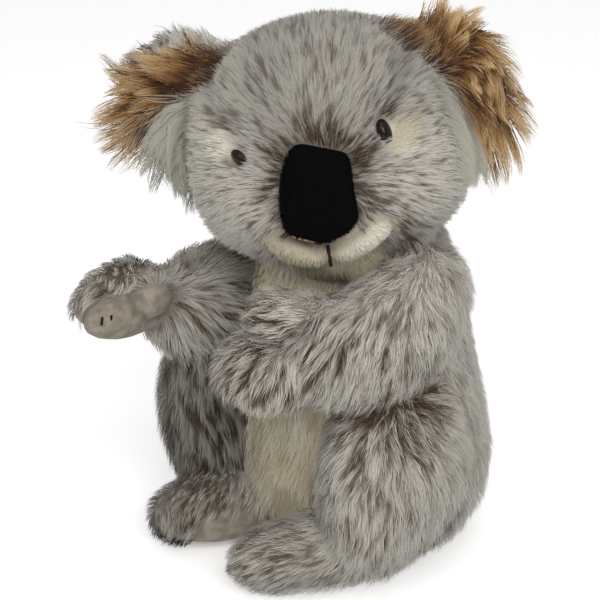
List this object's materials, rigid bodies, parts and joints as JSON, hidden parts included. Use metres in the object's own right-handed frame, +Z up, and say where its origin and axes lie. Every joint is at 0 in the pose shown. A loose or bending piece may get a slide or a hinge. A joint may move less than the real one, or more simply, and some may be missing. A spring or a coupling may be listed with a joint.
{
  "type": "plush toy koala",
  "caption": "Seated plush koala toy in frosted grey pile, head turned to one side, arms held forward, fringed ears, black cloth nose and cream belly.",
  "frame": {"origin": "on the floor, under the middle of the toy's bounding box", "axes": "+Z up, the body faces -Y, the toy's left is +X"},
  "size_m": [0.2012, 0.1988, 0.287],
  "materials": {
    "frosted_pile": "long pile, dark brown at the root and pale grey at the tip",
    "cream_pile": "short soft pile",
    "brown_pile": "long wispy pile, darker at the root",
    "white_pile": "soft pile",
    "short_pile": "very short brushed pile",
    "nose_cloth": "matt felted cloth",
    "eye_plastic": "glossy",
    "thread": "waxed thread"
  },
  "bodies": {
    "root": {"nose": "nose_cloth", "eye_left": "eye_plastic", "eye_right": "eye_plastic", "mouth_thread": "thread", "lip_left": "cream_pile", "lip_right": "cream_pile", "chin": "cream_pile", "head": "frosted_pile", "ear_inner_left": "white_pile", "ear_fringe_left": "brown_pile", "ear_back_left": "frosted_pile", "ear_inner_right": "white_pile", "ear_fringe_right": "brown_pile", "ear_back_right": "frosted_pile", "trunk": "frosted_pile", "finger_stitch_1": "thread", "finger_stitch_2": "thread", "haunch_left": "frosted_pile", "foot_left": "frosted_pile", "sole_left": "short_pile", "arm_left": "frosted_pile", "palm_left": "short_pile", "paw_left": "frosted_pile", "thumb_left": "frosted_pile", "haunch_right": "frosted_pile", "foot_right": "frosted_pile", "sole_right": "short_pile", "arm_right": "frosted_pile", "palm_right": "short_pile", "paw_right": "frosted_pile", "thumb_right": "frosted_pile"}
  },
  "joints": []
}
